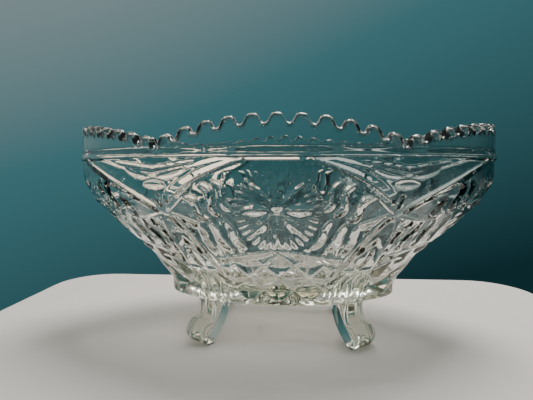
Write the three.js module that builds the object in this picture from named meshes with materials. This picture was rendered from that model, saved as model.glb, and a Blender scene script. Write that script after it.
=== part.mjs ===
// A pressed-glass candy dish: a boat-shaped bowl with four rim lobes, standing on four scroll feet.
// Millimetres, Z up, origin on the table under the middle of the dish, X along the dish, +Y its back.
import * as THREE from "three";
import { mergeVertices } from "three/addons/utils/BufferGeometryUtils.js";

const GAP = 0.3; // left between neighbouring nodes of the one casting

// Plan ovals: half length, half width and the radius of the rounded ends.
const BASE_OVAL = [52.0, 29.8, 18.3];
const MOUTH_OVAL = [95.0, 52.6, 13.0];
const FLARE = [18, 72]; // heights between which the wall swells from one oval to the other

const BASE_Z = 17.7; // underside of the bowl, on top of the feet
const FLOOR_Z = 24; // inside floor of the bowl
const SEAM_Z = 78.6; // moulded line under the plain rim band

// Rim: scallops counted along a quarter of the outline, from the middle of a long side to an end.
const SCALLOPS = 13;
const CREASE = 5.5; // the station, in scallops, at which side lobe and end lobe meet in a dip
const LOBE_TOP_Z = 93.5;
const CREASE_TOP_Z = 85.3; // of the lobes' outline, before the scallops are cut into it
const SCALLOP_DEPTH = 3.4;
const RIM_WALL = 3.5;
const LIP_ROUNDING = 0.5;
const RIM_SEGMENTS = 6; // segments in one scallop of the rim
const BOWL_SEGMENTS = 4; // and in the same stretch of the bowl under it

// Bowl wall and base.
const LOW_WALL = 6; // wall thickness at LOW_WALL_Z; it thins to RIM_WALL at the seam
const LOW_WALL_Z = 32;
const BASE_ROUNDING = 3; // inset of the underside from the wall
const BASE_BEVEL = 0.9;
const PLAIN_Z = 20; // the wall is smooth below this height

// Raised bands on the outside of the bowl, standing out of the cut pattern.
const BAND_RELIEF = 0.8;
const BAND_HALF_WIDTH = 4.5;
const THINNEST_BAND = 0.4; // share of the width left where a band runs along the seam
const BAND_CROSSING_Z = 56; // where the arches of neighbouring lobes cross, on the crease
const BAND_FOOT = 3.9; // scallop station where a crossed band meets the base
const STRUT_HALF_STATIONS = 0.6; // half width of a crossed band under the crossing, in scallops
const LEDGE_HEIGHT = 1; // of the plain band under the seam, away from the creases
const LEDGE_DIP = 6.3; // how much further down it reaches at the crease
const LEDGE_REACH = 3.4; // scallops from the crease over which it does
const LEDGE_SLOPE = 1.5;

// Scroll feet. The outline lies in the foot's own plane: outwards from FOOT_AT, and up.
const FOOT_TOP_Z = BASE_Z - GAP;
const FOOT_TOP_OUT = [-4.8, 5.2]; // inner and outer end of the top face
const SCROLL_RADIUS = 5.2;
const SCROLL_CENTRE = [7.2, 4.9]; // sunk a little below its radius, so that the pad is cut flat
const FOOT_WIDTH = 10.8;
const FOOT_BEVEL = 0.9;
const FOOT_TURN = THREE.MathUtils.degToRad(52); // the foot's outward direction, from +X
const FOOT_AT = [28.6, 18.6];

const LATHE_RADIUS = 100; // radius of the plain lathed bowl that is then bent to the ovals
const DEEPEST_INSET = 12; // further in than this the plan shape shrinks towards the middle

const GLASS = new THREE.MeshStandardMaterial({
  name: "clear_pressed_glass",
  color: 0xdde4d6,
  roughness: 0.05,
  transparent: true,
  opacity: 0.45,
});

const { lerp, smoothstep } = THREE.MathUtils;
const QUARTER = Math.PI / 2;

// The plan oval at a height, moved inwards by inset: long side arcs joined by tighter end arcs.
function ovalAt(z, inset) {
  const swell = smoothstep(z, ...FLARE);
  const [a, b, tip] = BASE_OVAL.map((v, i) => lerp(v, MOUTH_OVAL[i], swell) - inset);
  const side = ((a - tip) ** 2 + b * b - tip * tip) / (2 * (b - tip));
  const bend = Math.atan2(a - tip, side - b);
  return { a, b, tip, side, bend };
}

// Point at share (0 to 1) of the quarter outline, from the middle of the long side to the end.
function quarterPoint({ a, b, tip, side, bend }, share) {
  const sideLength = side * bend;
  const travel = share * (sideLength + tip * (QUARTER - bend));
  if (travel <= sideLength) {
    const angle = travel / side;
    return [side * Math.sin(angle), side * Math.cos(angle) - (side - b)];
  }
  const angle = bend + (travel - sideLength) / tip;
  return [a - tip + tip * Math.sin(angle), tip * Math.cos(angle)];
}

// Where a lathe vertex lies around the dish: quadrant signs, and its station in scallops.
function stationOf(x, depth) {
  const share = Math.atan2(Math.abs(x), Math.abs(depth)) / QUARTER;
  return { signX: Math.sign(x), signY: -Math.sign(depth), share, station: share * SCALLOPS };
}

function placeOnOval(radius, z, place) {
  const inset = Math.min(LATHE_RADIUS - radius, DEEPEST_INSET);
  const [x, y] = quarterPoint(ovalAt(z, inset), place.share);
  const shrink = Math.min(1, radius / (LATHE_RADIUS - DEEPEST_INSET));
  return [place.signX * x * shrink, place.signY * y * shrink];
}

// Distance from the middle of the lobe, as a share of half its length.
function lobeReach(station) {
  return station < CREASE ? station / CREASE : (SCALLOPS - station) / (SCALLOPS - CREASE);
}

// Height of the rim: two parabolic lobes that meet at the crease, cut into rounded scallops.
function rimTop(station) {
  const lobe = lerp(LOBE_TOP_Z, CREASE_TOP_Z, lobeReach(station) ** 2);
  return lobe - SCALLOP_DEPTH * smoothstep(Math.sin(Math.PI * station) ** 2, 0, 1);
}

// Centre height of the band that arches over a lobe.
function archHeight(station) {
  return lerp(SEAM_Z, BAND_CROSSING_Z, lobeReach(station) ** 2);
}

// Scallops between the crease and the crossed bands at a height.
function strutOffset(z) {
  const fall = Math.min(1, (BAND_CROSSING_Z - z) / (BAND_CROSSING_Z - BASE_Z));
  return (CREASE - BAND_FOOT) * Math.sqrt(fall);
}

// Outward relief of the bowl's wall: the ledge under the seam and the crossing bands.
function relief(station, z) {
  const fromCrease = Math.abs(station - CREASE);
  const dip = Math.max(0, 1 - fromCrease / LEDGE_REACH);
  const edge = SEAM_Z - LEDGE_HEIGHT - LEDGE_DIP * dip;
  const ledge = smoothstep(z, edge - LEDGE_SLOPE, edge + LEDGE_SLOPE);
  const archHalf = BAND_HALF_WIDTH * Math.max(lobeReach(station), THINNEST_BAND);
  const arch = bump(z - archHeight(station), archHalf);
  const crossed = z < BAND_CROSSING_Z;
  const strut = crossed ? bump(fromCrease - strutOffset(z), STRUT_HALF_STATIONS) : 0;
  return BAND_RELIEF * Math.max(ledge, arch, strut);
}

function bump(offset, halfWidth) {
  return Math.abs(offset) < halfWidth ? Math.cos((offset / halfWidth) * QUARTER) ** 2 : 0;
}

// Lathes the profile about Z and moves every vertex by bend(radius, z, place).
function bentLathe(profile, segments, bend) {
  const points = profile.map(([radius, z]) => new THREE.Vector2(radius, z));
  const lathe = new THREE.LatheGeometry(points, segments);
  const position = lathe.attributes.position;
  for (let i = 0; i < position.count; i++) {
    const x = position.getX(i);
    const z = position.getY(i);
    const depth = position.getZ(i);
    const place = stationOf(x, depth);
    const [px, py, pz] = bend(Math.hypot(x, depth), z, place);
    position.setXYZ(i, px, py, pz);
  }
  lathe.deleteAttribute("normal");
  lathe.deleteAttribute("uv");
  return mergeVertices(lathe, 1e-3);
}

function steps(from, to, count) {
  return Array.from({ length: count + 1 }, (_, i) => lerp(from, to, i / count));
}

// Bowl: underside, rounded base edge, swelling wall up to the seam, then the inside back down.
function bowlGeometry() {
  const wallTop = SEAM_Z - GAP / 2;
  const wallAt = (z) => lerp(LOW_WALL, RIM_WALL, (z - LOW_WALL_Z) / (wallTop - LOW_WALL_Z));
  const outside = steps(21, wallTop, 14).map((z) => [LATHE_RADIUS, z]);
  const inside = steps(wallTop, LOW_WALL_Z, 5).map((z) => [LATHE_RADIUS - wallAt(z), z]);
  const profile = [
    [0, BASE_Z],
    [LATHE_RADIUS / 2, BASE_Z],
    [LATHE_RADIUS - BASE_ROUNDING, BASE_Z],
    [LATHE_RADIUS - BASE_BEVEL, BASE_Z + BASE_BEVEL],
    ...outside,
    ...inside,
    [LATHE_RADIUS - 8.5, 27],
    [LATHE_RADIUS - 15, FLOOR_Z + 0.7],
    [LATHE_RADIUS - 30, FLOOR_Z],
    [0, FLOOR_Z],
  ];
  return bentLathe(profile, SCALLOPS * 4 * BOWL_SEGMENTS, (radius, z, place) => {
    const [x, y] = placeOnOval(radius, z, place);
    const onOutside = radius > LATHE_RADIUS - GAP && z > PLAIN_Z;
    const out = onOutside ? relief(place.station, z) : 0;
    const length = Math.hypot(x, y) || 1;
    return [x * (1 + out / length), y * (1 + out / length), z];
  });
}

// Rim band: a closed ring whose top follows the lobes and scallops, with a rounded lip.
function rimGeometry() {
  const bottom = SEAM_Z + GAP / 2;
  const lip = LOBE_TOP_Z - bottom;
  const outer = LATHE_RADIUS;
  const inner = LATHE_RADIUS - RIM_WALL;
  const profile = [
    [outer + BAND_RELIEF, 0],
    [outer + BAND_RELIEF / 2, 0.2],
    [outer, 0.75],
    [outer - LIP_ROUNDING, 0.94],
    [(outer + inner) / 2, 1],
    [inner + LIP_ROUNDING, 0.94],
    [inner, 0.75],
    [inner, 0],
    [outer + BAND_RELIEF, 0],
  ].map(([radius, share]) => [radius, share * lip]);
  return bentLathe(profile, SCALLOPS * 4 * RIM_SEGMENTS, (radius, height, place) => {
    const z = bottom + (height / lip) * (rimTop(place.station) - bottom);
    const [x, y] = placeOnOval(radius, z, place);
    return [x, y, z];
  });
}

// One foot: an S-shaped bracket that ends in a scroll, extruded across and turned outwards.
function footGeometry(signX, signY) {
  const [innerTop, outerTop] = FOOT_TOP_OUT;
  const pad = Math.sqrt(SCROLL_RADIUS ** 2 - SCROLL_CENTRE[1] ** 2);
  const padAngle = Math.atan2(-SCROLL_CENTRE[1], pad);
  const neckAngle = THREE.MathUtils.degToRad(95);
  const outline = new THREE.Shape();
  outline.moveTo(innerTop, FOOT_TOP_Z);
  outline.bezierCurveTo(-4.2, 11, -1.6, 5, SCROLL_CENTRE[0] - pad, 0);
  outline.absarc(...SCROLL_CENTRE, SCROLL_RADIUS, padAngle, neckAngle, false);
  outline.quadraticCurveTo(4.8, 11.6, outerTop, FOOT_TOP_Z);
  const foot = new THREE.ExtrudeGeometry(outline, {
    depth: FOOT_WIDTH - 2 * FOOT_BEVEL,
    bevelThickness: FOOT_BEVEL,
    bevelSize: FOOT_BEVEL,
    bevelOffset: -FOOT_BEVEL,
    bevelSegments: 2,
    curveSegments: 8,
  });
  foot.translate(0, 0, FOOT_BEVEL - FOOT_WIDTH / 2);
  foot.rotateX(QUARTER);
  foot.rotateZ(FOOT_TURN);
  foot.translate(...FOOT_AT, 0);
  foot.deleteAttribute("normal");
  foot.deleteAttribute("uv");
  return mirrored(mergeVertices(foot, 1e-3), signX, signY);
}

// Mirrors a geometry across X and Y by the signs, turning its faces back outwards.
function mirrored(geometry, signX, signY) {
  geometry.scale(signX, signY, 1);
  if (signX * signY < 0) {
    const index = geometry.index.array;
    for (let i = 0; i < index.length; i += 3) {
      [index[i + 1], index[i + 2]] = [index[i + 2], index[i + 1]];
    }
  }
  return geometry;
}

const dish = new THREE.Group();
dish.name = "depression_glass_candy_dish";

function addNode(name, geometry) {
  const mesh = new THREE.Mesh(geometry, GLASS);
  mesh.name = name;
  dish.add(mesh);
}

addNode("bowl_body", bowlGeometry());
addNode("rim_band", rimGeometry());
for (const [side, signX] of [["left", -1], ["right", 1]]) {
  for (const [row, signY] of [["front", -1], ["back", 1]]) {
    addNode(`foot_${row}_${side}`, footGeometry(signX, signY));
  }
}

export default dish;
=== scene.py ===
import math

import bmesh
import bpy
import numpy as np
from mathutils import Matrix, Vector


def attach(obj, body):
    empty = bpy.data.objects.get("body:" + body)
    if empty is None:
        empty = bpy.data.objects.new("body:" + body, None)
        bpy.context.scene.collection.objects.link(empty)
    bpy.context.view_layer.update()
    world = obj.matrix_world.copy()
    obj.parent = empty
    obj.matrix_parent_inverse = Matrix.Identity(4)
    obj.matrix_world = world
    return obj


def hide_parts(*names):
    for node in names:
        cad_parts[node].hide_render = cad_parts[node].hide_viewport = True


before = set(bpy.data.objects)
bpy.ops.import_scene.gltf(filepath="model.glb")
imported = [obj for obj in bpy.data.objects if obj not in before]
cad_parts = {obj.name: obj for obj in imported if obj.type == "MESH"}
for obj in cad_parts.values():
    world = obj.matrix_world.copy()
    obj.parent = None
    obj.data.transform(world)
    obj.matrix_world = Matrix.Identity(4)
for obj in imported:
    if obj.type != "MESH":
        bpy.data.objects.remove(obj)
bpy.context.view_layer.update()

MM = 0.001

# --- dimensions of the dish, in millimetres: the same as the solid's -----------------------------
BASE_OVAL = (52.0, 29.8, 18.3)  # half length, half width, radius of the rounded ends
MOUTH_OVAL = (95.0, 52.6, 13.0)
FLARE = (18.0, 72.0)  # heights between which the wall swells from one oval to the other
BASE_Z = 17.7
FLOOR_Z = 24.0
SEAM_Z = 78.6
SCALLOPS = 13  # in a quarter of the outline
CREASE = 5.5  # scallop station of the dip between a side lobe and an end lobe
LOBE_TOP_Z = 93.5
CREASE_TOP_Z = 85.3  # of the lobes' outline, before the scallops are cut into it
SCALLOP_DEPTH = 3.4
RIM_WALL = 3.5
LOW_WALL = 6.0  # wall thickness at LOW_WALL_Z; it thins to RIM_WALL at the seam
LOW_WALL_Z = 32.0

# --- fine shape of the visual pieces -------------------------------------------------------------
SEAM_GAP = 0.08  # the pieces all but touch, so that the casting reads as one glass
SEAM_INSET = 0.05  # the two faces of the seam are this much smaller than the wall
INSIDE_ROUND = 6.0  # how far the inside rounds inwards from LOW_WALL_Z down to the floor
BASE_INSET = 0.9  # rounding of the base edge, inwards
BASE_ROUND = 0.7  # and upwards
STAR_INSET = 11.0  # the rayed star under the bowl starts this far inside the base edge
STAR_RAYS = ((0.12, 0.2), (0.5, 0.8), (0.9, 1.3), (1.0, 0.0))  # share of the way out, depth

# --- pattern on the wall; a pair holds a side lobe's value and an end lobe's ----------------------
LEDGE_RELIEF = 0.8  # how far the plain band stands out from the patterned wall
LEDGE_DROP = 1.0  # lower edge of the plain band, under the seam
LEDGE_DIP = 6.3  # how far it reaches down further at the crease
LEDGE_DIP_STATIONS = (3.2, 3.6)  # half width of that dip
LEDGE_GROOVE = 0.6  # depth of the groove that doubles the ledge near the crease
LEDGE_GROOVE_OFF = 2.6  # how far it lies over the ledge's edge, at the crease
LEDGE_GROOVE_HALF = 0.9  # half its width
ARCH_FALL = (17.9, 22.3)  # from the seam to the crease
ARCH_BEND = (1.9, 1.75)  # a higher power keeps the arch flat for longer
CROSSING_Z = 56.0  # the arches of neighbouring lobes cross here, on the crease
STRUT_FOOT = 3.9  # station where a crossed arch meets the base
STRUT_DEPTH = 0.7
STRUT_HALF = 1.5  # half its width
STRUT_EDGE = 0.5  # width of its slanted edge
STRUT_SPREAD = (1.0, 1.3)  # stretches the struts' distance from the crease
BAND_WIDTH = 4.6  # of the arch band, where it is widest
BAND_SLOPE = 0.47
BAND_START = 0.2  # the arch band grows from this share of the way to the crease
BAND_GROWTH = 0.65  # over this share
BAND_END = 0.94
DAISY_Z = 58.9
ARC_Z = 43.2  # top of the arc that parts the daisy panel from the pyramids
ARC_BEND = 0.0076  # how fast that arc falls to both sides
PYRAMID = 12.5  # width of one cut pyramid
PYRAMID_HEIGHT = 11.7
PYRAMID_RELIEF = 0.7  # of a pyramid's tip over the plain wall
PYRAMID_CUT = 2.2  # from the tip of a pyramid to the bottom of the cuts round it
PYRAMID_TOP_Z = 35.6  # centre height of the top row of pyramids
PYRAMID_FIELD_Z = 41.5  # top of the field of pyramids
PYRAMID_STRENGTH = (1.0, 0.5)  # they are cut half as deep on an end lobe
KITE_SLOPE = 0.34  # of the facets on the crease, from the struts and the crossing
KITE_FOOT_SLOPE = 0.45
KITE_FOOT_Z = 32.5
KITE_RELIEF = 2.4  # the most they stand out
RIDGE_Z = 44.3  # the ridge between the upper and lower facets, on the crease
RIDGE_FALL = (1.07, 0.78)  # how steeply it falls away from the crease
RIDGE_RELIEF = 2.0
RIDGE_SLOPE = 0.42
RIDGE_LEAST = 0.7

# --- scroll foot, drawn in its own plane: outwards and up ---------------------------------------
FOOT_TOP_Z = BASE_Z - SEAM_GAP
FOOT_OUTER = 5.2  # how far the foot's top reaches outwards from FOOT_AT
FOOT_INNER = 4.8  # and inwards
SCROLL_RADIUS = 5.2
SCROLL_CENTRE = (7.2, SCROLL_RADIUS - 0.3)  # sunk a little, so that the pad is flat
FOOT_WIDTH = 10.8
FOOT_ROUND = 1.6  # rounding of its side edges
FOOT_TURN = math.radians(52)  # its outward direction, from +X
FOOT_AT = (28.6, 18.6)  # in plan, in the first quarter

# --- table top under the dish --------------------------------------------------------------------
TABLE_HALF_X = 150.0
TABLE_HALF_Y = 88.0
TABLE_CORNER = 30.0
TABLE_THICK = 14.0
TABLE_GAP = 0.02  # between the table top and the feet

# --- camera: level with the rim, a little to the right, looking slightly down ---------------------
CAMERA_DISTANCE = 195.8
CAMERA_HEIGHT = 73.55
CAMERA_SIDE = 7.0
CAMERA_YAW = 0.073
CAMERA_PITCH = 0.073
FOCAL_SHARE = 415 / 533  # focal length over image width
SENSOR_WIDTH = 36.0

# --- how finely the meshes follow the shape ------------------------------------------------------
COLUMNS_PER_SCALLOP = 14
WALL_ROWS = 106
INSIDE_ROWS = 12
RIM_OUTSIDE_ROWS = 14
RIM_INSIDE_ROWS = 10
SHARP_EDGE = math.radians(62)  # folds sharper than this are kept as edges


def clamp01(v):
    return np.clip(v, 0.0, 1.0)


def smooth(v, low, high):
    t = clamp01((v - low) / (high - low))
    return t * t * (3 - 2 * t)


def by_lobe(on_side, pair):
    """The pair's first value on a side lobe and its second on an end lobe."""
    return np.where(on_side, *pair)


# --- plan outline --------------------------------------------------------------------------------
def oval_at(z, inset):
    """The plan oval at a height: half sizes, end radius, side radius and the angle where they meet."""
    swell = smooth(z, *FLARE)
    a, b, tip = [low + (high - low) * swell - inset for low, high in zip(BASE_OVAL, MOUTH_OVAL)]
    side = ((a - tip) ** 2 + b * b - tip * tip) / (2 * (b - tip))
    bend = np.arctan2(a - tip, side - b)
    return a, b, tip, side, bend


def outline(station, z, inset):
    """Point of the first quarter and its outward direction in plan, at a station from 0 to SCALLOPS."""
    a, b, tip, side, bend = oval_at(z, inset)
    travel = station / SCALLOPS * (side * bend + tip * (math.pi / 2 - bend))
    on_side = travel <= side * bend
    angle = np.where(on_side, travel / side, bend + (travel - side * bend) / tip)
    x = np.where(on_side, side * np.sin(angle), a - tip + tip * np.sin(angle))
    y = np.where(on_side, side * np.cos(angle) - (side - b), tip * np.cos(angle))
    return x, y, np.sin(angle), np.cos(angle)


def scallop_pitch(z):
    """Distance between two scallops along the outline at a height."""
    _, _, tip, side, bend = oval_at(z, 0.0)
    return (side * bend + tip * (math.pi / 2 - bend)) / SCALLOPS


def lobe_share(station):
    """How far a station is along its lobe: 0 in the lobe's middle, 1 at the crease."""
    return np.where(station < CREASE, station / CREASE, (SCALLOPS - station) / (SCALLOPS - CREASE))


def around():
    """For each column around the dish: its station and the signs of its quadrant."""
    per_quarter = SCALLOPS * COLUMNS_PER_SCALLOP
    turn = np.arange(4 * per_quarter) / per_quarter
    quarter = turn.astype(int)
    share = turn - quarter
    share = np.where(quarter % 2 == 1, 1 - share, share)
    sign_x = np.where(quarter < 2, 1.0, -1.0)
    sign_y = np.where((quarter == 0) | (quarter == 3), -1.0, 1.0)
    return share * SCALLOPS, sign_x, sign_y


STATION, SIGN_X, SIGN_Y = around()


def ring(z, inset=0.0, out=0.0, shrink=1.0):
    """One closed row of points around the dish, pushed outwards by out."""
    z = np.broadcast_to(np.asarray(z, float), STATION.shape)
    x, y, nx, ny = outline(STATION, z, inset)
    x = (x + nx * out) * shrink
    y = (y + ny * out) * shrink
    return np.stack([SIGN_X * x, SIGN_Y * y, z], axis=1)


# --- relief --------------------------------------------------------------------------------------
def across_cut(x, z, start, end, bow, curl=0.0):
    """Distance from the middle line of a cut from start to end, and the cut's swell: 1 halfway, 0 at
    both ends. bow bends the line and curl makes it an S."""
    (ax, az), (bx, bz) = start, end
    length = math.hypot(bx - ax, bz - az)
    ux, uz = (bx - ax) / length, (bz - az) / length
    t = ((x - ax) * ux + (z - az) * uz) / length
    belly = np.clip(4 * t * (1 - t), 0.0, 1.0)
    off = (x - ax) * uz - (z - az) * ux - bow * belly - curl * np.sin(2 * math.pi * clamp01(t))
    return off, belly


def flute(x, z, start, end, width, height, bow=0.0, tip=0.5):
    """A raised round flute from start to end; tip 1 gives it leaf points."""
    off, belly = across_cut(x, z, start, end, bow)
    half = width / 2 * belly**tip + 1e-6
    return height * np.clip(1 - (off / half) ** 2, 0.0, 1.0) * (belly > 0)


def mitre(x, z, start, end, width, depth, lean=0.0, bow=0.0, curl=0.0, tip=0.5):
    """A V-shaped cut from start to end, as a wheel leaves it. lean moves its deepest line towards one
    side, and a higher tip gives it longer points."""
    off, belly = across_cut(x, z, start, end, bow, curl)
    swell = belly**tip
    side = off / (width / 2 * swell + 1e-6)
    rise = (side - lean) / np.where(side > lean, 1 - lean, -1 - lean)
    return -depth * swell * np.clip(1 - rise, 0.0, 1.0)


# Cuts between the daisy and the arch: start, end, width, bow and curl of each.
UPPER_FEATHERS = [
    ((31.4, 68.2), (44.4, 57.2), 2.4, 0.0, 0.0),
    ((35.6, 63.6), (25.0, 55.0), 3.6, 0.0, 1.6),
    ((28.4, 68.4), (20.4, 56.8), 3.4, 0.0, 1.5),
    ((23.2, 69.4), (16.6, 58.6), 2.8, 0.0, 1.2),
]
LOWER_FEATHERS = [
    ((43.0, 56.4), (29.4, 52.2), 4.0, -0.8, 0.0),
    ((36.4, 52.4), (31.2, 41.6), 3.8, -0.6, 0.6),
    ((31.2, 52.4), (24.9, 40.9), 3.8, -0.6, 0.6),
    ((26.4, 53.6), (18.6, 42.4), 3.8, -0.5, 0.6),
    ((20.4, 55.2), (12.6, 43.4), 3.4, -0.5, 0.6),
]


def feathers(x, z):
    """The S-shaped cuts that fill the panel between the daisy and the arch."""
    total = np.zeros_like(x)
    for cuts, lean, slope in ((UPPER_FEATHERS, -0.5, 0.75), (LOWER_FEATHERS, 0.6, 0.5)):
        for start, end, width, bow, curl in cuts:
            depth = slope * width / 2 * (1 + abs(lean))
            cut = mitre(x, z, start, end, width, depth, lean, bow, curl, tip=0.35)
            total = np.minimum(total, cut)
    return total


def spoke(x, z, angle, near, far, width, depth, tip):
    """A cut that points away from the daisy's middle, between two radii."""
    c, s = math.cos(angle), math.sin(angle)
    start, end = (near * c, DAISY_Z + near * s), (far * c, DAISY_Z + far * s)
    return mitre(x, z, start, end, width, depth, tip=tip)


def daisy(x, z):
    """Eight broad petals cut as mitres, a fringe of short cuts round them and a button in the middle.
    The petals and cuts that point up are shallower."""
    petals, fringe_cuts = 8, 36
    total = np.zeros_like(x)
    for k in range(petals):
        angle = k * 2 * math.pi / petals
        depth = 1.25 - 0.8 * max(0.0, math.sin(angle)) ** 3
        petal = spoke(x, z, angle, near=2.4, far=14.6, width=5.0, depth=depth, tip=0.75)
        total = np.minimum(total, petal)
    for k in range(fringe_cuts):
        angle = (k + 0.5) * 2 * math.pi / fringe_cuts
        depth = 0.55 - 0.33 * math.sin(angle)
        cut = spoke(x, z, angle, near=10.2, far=16.6, width=2.3, depth=depth, tip=0.8)
        total = np.minimum(total, cut)
    half_width, half_height = 2.3, 1.4
    button = (x / half_width) ** 2 + ((z - DAISY_Z) / half_height) ** 2 < 1
    return np.where(button, 0.1 + 0.5 * (DAISY_Z + half_height - z), total)


def arch_height(reach, on_side):
    """The middle of an arch band: it falls from the seam over the lobe's middle to the crease."""
    return SEAM_Z - by_lobe(on_side, ARCH_FALL) * reach ** by_lobe(on_side, ARCH_BEND)


def strut_distance(z, pitch, on_side):
    """Distance from the crease to the middle of a strut at a height, under the crossing."""
    fall = clamp01((CROSSING_Z - z) / (CROSSING_Z - BASE_Z))
    return (CREASE - STRUT_FOOT) * np.sqrt(fall) * pitch * by_lobe(on_side, STRUT_SPREAD)


def bevel_cut(off, width, slope):
    """A cut with one long flat facet and one steep side; off runs from 0 to width across it."""
    t = off / np.maximum(width, 0.1)
    facet = np.minimum(t, (1 - t) * 4)
    return -slope * width * np.clip(facet, 0.0, 1.0)


def pyramids(x, z):
    """Rows of square pyramids standing on their corners."""
    rise = (z - PYRAMID_TOP_Z) / PYRAMID_HEIGHT
    p = x / PYRAMID + rise
    q = x / PYRAMID - rise
    side = np.maximum(np.abs(p - np.round(p)), np.abs(q - np.round(q)))
    return PYRAMID_RELIEF - PYRAMID_CUT * 2 * side


def lobe_field(x, z, on_side):
    """The pattern inside an arch: daisy and feathers over an arc, a leaf along it, pyramids below."""
    arc_fall = ARC_BEND * x**2
    above_arc = z > ARC_Z - arc_fall
    flower = daisy(x, z)
    panel = np.where(flower > 0, flower, np.minimum(flower, feathers(x, z)))
    leaf = mitre(x, z, (-0.3, 42.3), (29.5, 36.6), 4.2, 1.5, lean=-0.6, bow=0.9, tip=0.4)
    lattice = pyramids(x, z) * (z < PYRAMID_FIELD_Z - arc_fall) * by_lobe(on_side, PYRAMID_STRENGTH)
    return np.where(above_arc, panel, np.where(leaf < 0, leaf, lattice))


def corner_facets(d, z, lean, on_side):
    """The facets on the crease under the crossing, over a roof-shaped ridge; d is the distance from
    the crease and lean the distance of the strut."""
    sides = KITE_SLOPE * (lean - d)
    top = KITE_SLOPE * (CROSSING_Z - z)
    foot = KITE_FOOT_SLOPE * (z - KITE_FOOT_Z)
    ridge_z = RIDGE_Z - by_lobe(on_side, RIDGE_FALL) * d
    ridge = np.maximum(RIDGE_RELIEF - RIDGE_SLOPE * np.abs(z - ridge_z), RIDGE_LEAST)
    return np.clip(np.minimum(np.minimum(sides, top), np.minimum(ridge, foot)), 0, KITE_RELIEF)


def corner_fan(x, z):
    """Slanted oval flutes round the foot of the crease; x runs on past the crease."""
    total = np.zeros_like(x)
    for k in range(4):
        top = (28.2 + 5.6 * k, 31.8 - 0.6 * abs(k - 1))
        foot = (20.6 + 5.2 * k, 18.4)
        total = np.maximum(total, flute(x, z, top, foot, 4.4, 2.2, bow=0.5, tip=0.4))
    return total


def kite(x, d, z, lean, on_side):
    """The pattern between the two struts: facets parted by a notch, and the fan at their foot."""
    notch = mitre(d, z, (0.0, 42.5), (0.0, 33.0), 6.0, 1.6)
    return np.maximum(corner_facets(d, z, lean, on_side) + notch, corner_fan(x, z))


def spandrel(d, z):
    """Raised leaves over the crossing: one across the crease, one to each side and one upright."""
    across = flute(d, z, (-5.2, 68.2), (5.2, 68.2), 3.8, 1.1, tip=0.7)
    aside = flute(d, z, (1.8, 71.0), (14.8, 73.9), 3.0, 1.0, bow=0.3, tip=0.7)
    upright = flute(d, z, (0.0, 58.0), (0.0, 64.4), 3.4, 1.2, tip=0.7)
    return np.maximum(np.maximum(across, aside), upright)


def add_ledge(field, station, z, on_side):
    """The plain band under the seam laid over the pattern, with a groove beside its dip."""
    dip = clamp01(1 - np.abs(station - CREASE) / by_lobe(on_side, LEDGE_DIP_STATIONS))
    edge = SEAM_Z - LEDGE_DROP - LEDGE_DIP * dip
    bevel = 0.35 + 0.45 * dip
    ledge = smooth(z, edge - bevel, edge + bevel)
    off_groove = np.abs(z - edge - LEDGE_GROOVE_OFF * dip) / LEDGE_GROOVE_HALF
    groove = LEDGE_GROOVE * np.clip(1 - off_groove, 0, 1) * smooth(dip, 0.1, 0.5)
    return field * (1 - ledge) + LEDGE_RELIEF * ledge - groove


def relief(station, z):
    """Height of the pattern over the plain wall, for a station from 0 to SCALLOPS."""
    pitch = scallop_pitch(z)
    on_side = station < CREASE
    reach = lobe_share(station)
    x = reach * CREASE * pitch
    d = np.abs(station - CREASE) * pitch
    lean = strut_distance(z, pitch, on_side)
    under_crossing = z < CROSSING_Z
    arch = arch_height(reach, on_side)

    inside = np.where(under_crossing, d > lean, z < arch)
    field = lobe_field(x, z, on_side) * inside
    corner = kite(station * pitch, d, z, lean, on_side)
    field = np.where(under_crossing & (d < lean - 0.2), corner, field)

    band_width = BAND_WIDTH * clamp01((reach - BAND_START) / BAND_GROWTH) ** 0.6
    band = bevel_cut(arch - z + band_width / 2, band_width, BAND_SLOPE) * (reach < BAND_END)
    strut = -STRUT_DEPTH * clamp01((STRUT_HALF - np.abs(d - lean)) / STRUT_EDGE)
    cut = np.minimum(band, strut * under_crossing)
    field = np.where(cut < 0, cut, field)

    over_arches = (z > arch + band_width * 0.5) & ~under_crossing
    field = np.where(over_arches, np.maximum(field, spandrel(d, z)), field)
    return add_ledge(field, station, z, on_side)


def rim_top(station):
    """Height of the lip: four lobes with the scallops cut into them."""
    lobe = LOBE_TOP_Z + (CREASE_TOP_Z - LOBE_TOP_Z) * lobe_share(station) ** 2
    return lobe - SCALLOP_DEPTH * smooth(np.abs(np.sin(math.pi * station)) ** 2.8, 0, 1)


# --- meshes --------------------------------------------------------------------------------------
def new_mesh(name, points, faces):
    """A smooth-shaded object from points in millimetres, its faces turned outwards."""
    mesh = bpy.data.meshes.new(name)
    mesh.from_pydata((np.asarray(points) * MM).tolist(), [], faces)
    bm = bmesh.new()
    bm.from_mesh(mesh)
    bmesh.ops.recalc_face_normals(bm, faces=bm.faces)
    bm.to_mesh(mesh)
    bm.free()
    mesh.shade_smooth()
    mesh.set_sharp_from_angle(angle=SHARP_EDGE)
    made = bpy.data.objects.new(name, mesh)
    bpy.context.scene.collection.objects.link(made)
    return made


def skin(rings, closed):
    """Quads between neighbouring rings; closed joins the last ring to the first."""
    count = len(rings[0])
    points = np.concatenate(rings)
    following = np.roll(np.arange(count), -1)
    faces = []
    pairs = len(rings) if closed else len(rings) - 1
    for i in range(pairs):
        a = i * count
        b = ((i + 1) % len(rings)) * count
        for j, k in enumerate(following):
            faces.append((a + j, a + k, b + k, b + j))
    return points, faces


def caps(rings):
    """A flat face over the first ring and one over the last."""
    count = len(rings[0])
    last = (len(rings) - 1) * count
    return [tuple(range(count)), tuple(range(last, last + count))]


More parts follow.
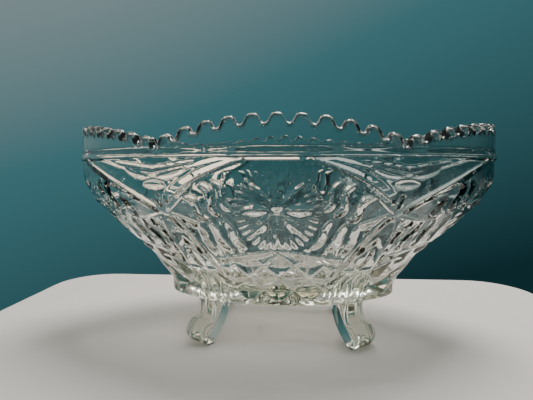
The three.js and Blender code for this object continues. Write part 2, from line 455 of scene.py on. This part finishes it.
def bowl_rings():
    """Rings from the star under the bowl, up the patterned wall, over the seam and down the inside."""
    wall_top = SEAM_Z - SEAM_GAP / 2
    ray = 1 - 2 * np.abs(STATION - np.round(STATION))
    rings = []
    for shrink, depth in STAR_RAYS:
        rings.append(ring(BASE_Z + depth * ray, STAR_INSET, shrink=shrink))
    for angle in np.radians((0, 30, 60, 90)):
        inset = BASE_INSET * (1 - math.sin(angle))
        rings.append(ring(BASE_Z + BASE_ROUND * (1 - math.cos(angle)), inset))
    for z in np.linspace(BASE_Z + 1.0, wall_top - 0.1, WALL_ROWS):
        fade = float(smooth(z, BASE_Z + 0.2, BASE_Z + 2.0))
        rings.append(ring(z, 0.0, relief(STATION, np.full_like(STATION, z)) * fade))
    rings.append(ring(wall_top, SEAM_INSET, LEDGE_RELIEF))
    rings.append(ring(wall_top, RIM_WALL - SEAM_INSET))
    for z in np.linspace(wall_top - 0.4, LOW_WALL_Z, INSIDE_ROWS):
        share = (z - LOW_WALL_Z) / (wall_top - LOW_WALL_Z)
        rings.append(ring(z, LOW_WALL + (RIM_WALL - LOW_WALL) * share))
    for angle in np.radians((18, 36, 54, 72, 90)):
        inset = LOW_WALL + INSIDE_ROUND * (1 - math.cos(angle))
        rings.append(ring(LOW_WALL_Z - (LOW_WALL_Z - FLOOR_Z) * math.sin(angle), inset))
    floor_inset = LOW_WALL + INSIDE_ROUND
    rings += [ring(FLOOR_Z, floor_inset, shrink=shrink) for shrink in (0.75, 0.45, 0.2)]
    return rings


def make_bowl():
    """The patterned bowl, closed by fans of faces under it and on its floor."""
    rings = bowl_rings()
    points, faces = skin(rings, closed=False)
    count = len(STATION)
    for first, z in ((0, BASE_Z), ((len(rings) - 1) * count, FLOOR_Z)):
        middle = len(points)
        points = np.vstack([points, [[0.0, 0.0, z]]])
        for j in range(count):
            faces.append((first + j, first + (j + 1) % count, middle))
    return new_mesh("bowl", points, faces)


def make_rim():
    """The plain band over the seam, with its scalloped round lip."""
    bottom = SEAM_Z + SEAM_GAP / 2
    lip = RIM_WALL / 2
    top = rim_top(STATION)
    rings = [ring(bottom, SEAM_INSET, LEDGE_RELIEF)]
    for share in np.linspace(0.02, 1.0, RIM_OUTSIDE_ROWS):
        z = bottom + share * (top - lip - bottom)
        rings.append(ring(z, 0.0, LEDGE_RELIEF * (1 - smooth(z, bottom, bottom + 4))))
    for angle in np.radians(np.arange(15, 180, 15)):
        inset = lip * (1 - math.cos(angle))
        rings.append(ring(top - lip + lip * math.sin(angle), inset))
    for share in np.linspace(1.0, 0.02, RIM_INSIDE_ROWS):
        rings.append(ring(bottom + share * (top - lip - bottom), RIM_WALL))
    rings.append(ring(bottom, RIM_WALL - SEAM_INSET))
    return new_mesh("rim", *skin(rings, closed=True))


def bezier(points, count):
    """Points along a Bezier curve of any degree, by its Bernstein sum."""
    t = np.linspace(0, 1, count)[:, None]
    degree = len(points) - 1
    total = 0
    for i, p in enumerate(points):
        total = total + math.comb(degree, i) * (1 - t) ** (degree - i) * t**i * np.array(p, float)
    return total


def foot_outline():
    """The foot seen from its side: distance outwards and height, from under the bowl to the table,
    round the scroll and back up."""
    cx, cz = SCROLL_CENTRE
    pad = math.sqrt(SCROLL_RADIUS**2 - cz**2)
    back = bezier([(-FOOT_INNER, FOOT_TOP_Z), (-4.2, 11), (-1.6, 5), (cx - pad, 0)], 18)
    angles = np.linspace(math.atan2(-cz, pad), math.radians(95), 26)
    arc = np.stack([cx + SCROLL_RADIUS * np.cos(angles), cz + SCROLL_RADIUS * np.sin(angles)], 1)
    neck = bezier([arc[-1], (4.8, 11.6), (FOOT_OUTER, FOOT_TOP_Z)], 9)
    top = bezier([(FOOT_OUTER, FOOT_TOP_Z), (-FOOT_INNER, FOOT_TOP_Z)], 8)
    return np.vstack([back, arc, neck[1:], top[1:-1]])


def inset_outline(points, amount):
    """The outline moved inwards along its own normals, kept on the top and pad planes."""
    along = np.roll(points, -1, 0) - np.roll(points, 1, 0)
    along /= np.linalg.norm(along, axis=1)[:, None]
    moved = points + amount * np.stack([-along[:, 1], along[:, 0]], 1)
    flat = (points[:, 1] > FOOT_TOP_Z - 0.01) | (points[:, 1] < 0.01)
    moved[flat, 1] = points[flat, 1]
    return moved


def foot_sections():
    """Across the foot from one side to the other: place of each slice, and how far it is drawn in.
    Both sides are rounded at their edge and sink towards a shallow hollow."""
    half = FOOT_WIDTH / 2
    core = half - FOOT_ROUND
    steps = [(half - 0.7, 3.0), (half, 2.4)]
    for a in np.radians((90, 65, 40, 20, 0)):
        steps.append((core + FOOT_ROUND * math.sin(a), FOOT_ROUND * (1 - math.cos(a))))
    return [(-across, inset) for across, inset in steps] + steps[::-1]


def make_foot(name, sign_x, sign_y):
    """One scroll foot, in the corner of the base that the two signs name."""
    shape = foot_outline()
    rings = []
    for across, inset in foot_sections():
        flat = inset_outline(shape, inset * 0.8)
        side = np.full(len(flat), across)
        rings.append(place_foot(flat[:, 0], side, flat[:, 1], sign_x, sign_y))
    points, faces = skin(rings, closed=False)
    return new_mesh(name, points, faces + caps(rings))


def place_foot(out, across, z, sign_x, sign_y):
    """Points of a foot turned to face its corner of the base."""
    c, s = math.cos(FOOT_TURN), math.sin(FOOT_TURN)
    x = FOOT_AT[0] + out * c - across * s
    y = FOOT_AT[1] + out * s + across * c
    return np.stack([sign_x * x, sign_y * y, z], 1)


# --- materials -----------------------------------------------------------------------------------
def node_material(name):
    material = bpy.data.materials.new(name)
    material.use_nodes = True
    tree = material.node_tree
    return material, tree, tree.nodes["Principled BSDF"]


def noise(tree, scale, detail, distortion=0.0):
    """Value from 0 to 1 of a noise fixed to the object."""
    coords = tree.nodes.new("ShaderNodeTexCoord")
    texture = tree.nodes.new("ShaderNodeTexNoise")
    texture.inputs["Scale"].default_value = scale
    texture.inputs["Detail"].default_value = detail
    texture.inputs["Distortion"].default_value = distortion
    tree.links.new(coords.outputs["Object"], texture.inputs["Vector"])
    return texture.outputs["Fac"]


def remap(tree, value, low, high, from_low=0.3, from_high=0.7):
    """The value stretched from one range to another; a noise mostly lies between 0.3 and 0.7."""
    node = tree.nodes.new("ShaderNodeMapRange")
    node.inputs["From Min"].default_value = from_low
    node.inputs["From Max"].default_value = from_high
    node.inputs["To Min"].default_value = low
    node.inputs["To Max"].default_value = high
    tree.links.new(value, node.inputs["Value"])
    return node.outputs["Result"]


def bump(tree, height, distance, strength, shader):
    node = tree.nodes.new("ShaderNodeBump")
    node.inputs["Distance"].default_value = distance
    node.inputs["Strength"].default_value = strength
    tree.links.new(height, node.inputs["Height"])
    tree.links.new(node.outputs["Normal"], shader.inputs["Normal"])


def glass(name, waviness, haze, depth_of_tint):
    """Clear pressed glass with a faint yellow-green body, slow waves from the mould and light wear."""
    material, tree, shader = node_material(name)
    shader.inputs["Base Color"].default_value = (0.985, 0.99, 0.975, 1)
    shader.inputs["Transmission Weight"].default_value = 1.0
    shader.inputs["IOR"].default_value = 1.52
    wear = noise(tree, scale=160, detail=3)
    tree.links.new(remap(tree, wear, 0.0, haze), shader.inputs["Roughness"])
    waves = noise(tree, scale=90, detail=2, distortion=0.4)
    bump(tree, waves, 0.0006, waviness, shader)
    absorb = tree.nodes.new("ShaderNodeVolumeAbsorption")
    absorb.inputs["Color"].default_value = (0.80, 0.80, 0.56, 1)
    absorb.inputs["Density"].default_value = depth_of_tint
    output = tree.nodes["Material Output"]
    tree.links.new(absorb.outputs["Volume"], output.inputs["Volume"])
    return material


def pale_floor_material():
    material, _, shader = node_material("pale_floor")
    shader.inputs["Base Color"].default_value = (0.62, 0.565, 0.515, 1)
    shader.inputs["Roughness"].default_value = 0.8
    return material


# --- stage ---------------------------------------------------------------------------------------
def table_corners():
    """Plan of the table top, with rounded corners."""
    steps = 8
    corners = []
    for quarter in range(4):
        sx = 1 if quarter in (0, 3) else -1
        sy = 1 if quarter < 2 else -1
        for step in range(steps + 1):
            angle = math.radians(90 * quarter + 90 * step / steps)
            x = sx * (TABLE_HALF_X - TABLE_CORNER) + TABLE_CORNER * math.cos(angle)
            y = sy * (TABLE_HALF_Y - TABLE_CORNER) + TABLE_CORNER * math.sin(angle)
            corners.append((x, y))
    return np.array(corners)


def make_table_top():
    """A pale table top, a little larger than the dish, with a softened upper edge."""
    corners = table_corners()
    rings = []
    for z, inset in ((0.0, 3.0), (-0.5, 1.2), (-2.0, 0.2), (-TABLE_THICK, 0.0)):
        plan = corners * (1 - inset / TABLE_HALF_Y)
        rings.append(np.column_stack([plan, np.full(len(plan), z - TABLE_GAP)]))
    points, faces = skin(rings, closed=False)
    top = new_mesh("table_top", points, faces + caps(rings))
    top.data.shade_flat()
    top.data.materials.append(pale_floor_material())


def make_world():
    """A plain studio wall colour all round, lighter above and to the left."""
    world = bpy.data.worlds.new("studio")
    bpy.context.scene.world = world
    world.use_nodes = True
    tree = world.node_tree
    coords = tree.nodes.new("ShaderNodeTexCoord")
    slope = tree.nodes.new("ShaderNodeVectorMath")
    slope.operation = "DOT_PRODUCT"
    slope.inputs[1].default_value = (-0.4, 0.0, 1.0)
    ramp = tree.nodes.new("ShaderNodeValToRGB")
    tree.links.new(coords.outputs["Generated"], slope.inputs[0])
    height = remap(tree, slope.outputs["Value"], 0.0, 1.0, -0.6, 0.9)
    tree.links.new(height, ramp.inputs["Fac"])
    stops = ramp.color_ramp.elements
    stops[0].position = 0.15
    stops[0].color = (0.006, 0.027, 0.032, 1)
    stops[1].position = 0.55
    stops[1].color = (0.048, 0.152, 0.172, 1)
    high = stops.new(0.95)
    high.color = (0.32, 0.36, 0.36, 1)
    background = tree.nodes["Background"]
    tree.links.new(ramp.outputs["Color"], background.inputs["Color"])
    background.inputs["Strength"].default_value = 1.0


def area_light(name, place, size, watts, colour=(1, 1, 1)):
    """A soft rectangular lamp, placed in metres and aimed at the middle of the dish."""
    data = bpy.data.lights.new(name, "AREA")
    data.shape = "RECTANGLE"
    data.size, data.size_y = size
    data.energy = watts
    data.color = colour
    lamp = bpy.data.objects.new(name, data)
    lamp.location = place
    target = Vector((0, 0, 0.05))
    lamp.rotation_euler = (target - lamp.location).to_track_quat("-Z", "Y").to_euler()
    lamp.visible_camera = False
    bpy.context.scene.collection.objects.link(lamp)


def make_lights():
    """A lamp overhead, and dim cards far behind that stand in for the warm board in the cut glass."""
    warm = (1.0, 0.76, 0.57)
    grey = (1.0, 0.93, 0.84)
    area_light("overhead", (0.15, 0.25, 0.9), (0.42, 0.42), 12.5)
    area_light("warm_card_left", (-0.38, 0.8, 0.2825), (0.44, 0.205), 0.56, warm)
    area_light("warm_card_middle", (-0.07, 0.8, 0.300), (0.18, 0.17), 0.19, warm)
    area_light("grey_card", (0.30, 0.8, 0.300), (0.50, 0.17), 0.15, grey)


def make_camera():
    data = bpy.data.cameras.new("camera")
    data.sensor_width = SENSOR_WIDTH
    data.lens = SENSOR_WIDTH * FOCAL_SHARE
    data.clip_start = 0.01
    camera = bpy.data.objects.new("camera", data)
    camera.location = Vector((CAMERA_SIDE, -CAMERA_DISTANCE, CAMERA_HEIGHT)) * MM
    yaw = Matrix.Rotation(CAMERA_YAW, 3, "Z")
    tilt = Matrix.Rotation(math.pi / 2 - CAMERA_PITCH, 3, "X")
    camera.rotation_euler = (yaw @ tilt).to_euler()
    bpy.context.scene.collection.objects.link(camera)
    bpy.context.scene.camera = camera


def dress(piece, material, *nodes):
    """Gives a piece its glass, hangs it under the root body and hides the nodes of the solid that it
    replaces.
    """
    piece.data.materials.append(material)
    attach(piece, "root")
    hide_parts(*nodes)


def main():
    make_camera()
    make_world()
    make_lights()
    make_table_top()
    bowl_glass = glass("bowl_glass", waviness=0.25, haze=0.03, depth_of_tint=20.0)
    dress(make_bowl(), bowl_glass, "bowl_body")
    rim_glass = glass("rim_glass", waviness=0.12, haze=0.02, depth_of_tint=16.0)
    dress(make_rim(), rim_glass, "rim_band")
    foot_glass = glass("foot_glass", waviness=0.2, haze=0.04, depth_of_tint=35.0)
    for side, sign_x in (("left", -1), ("right", 1)):
        for row, sign_y in (("front", -1), ("back", 1)):
            name = f"foot_{row}_{side}"
            dress(make_foot("scroll_" + name, sign_x, sign_y), foot_glass, name)


main()
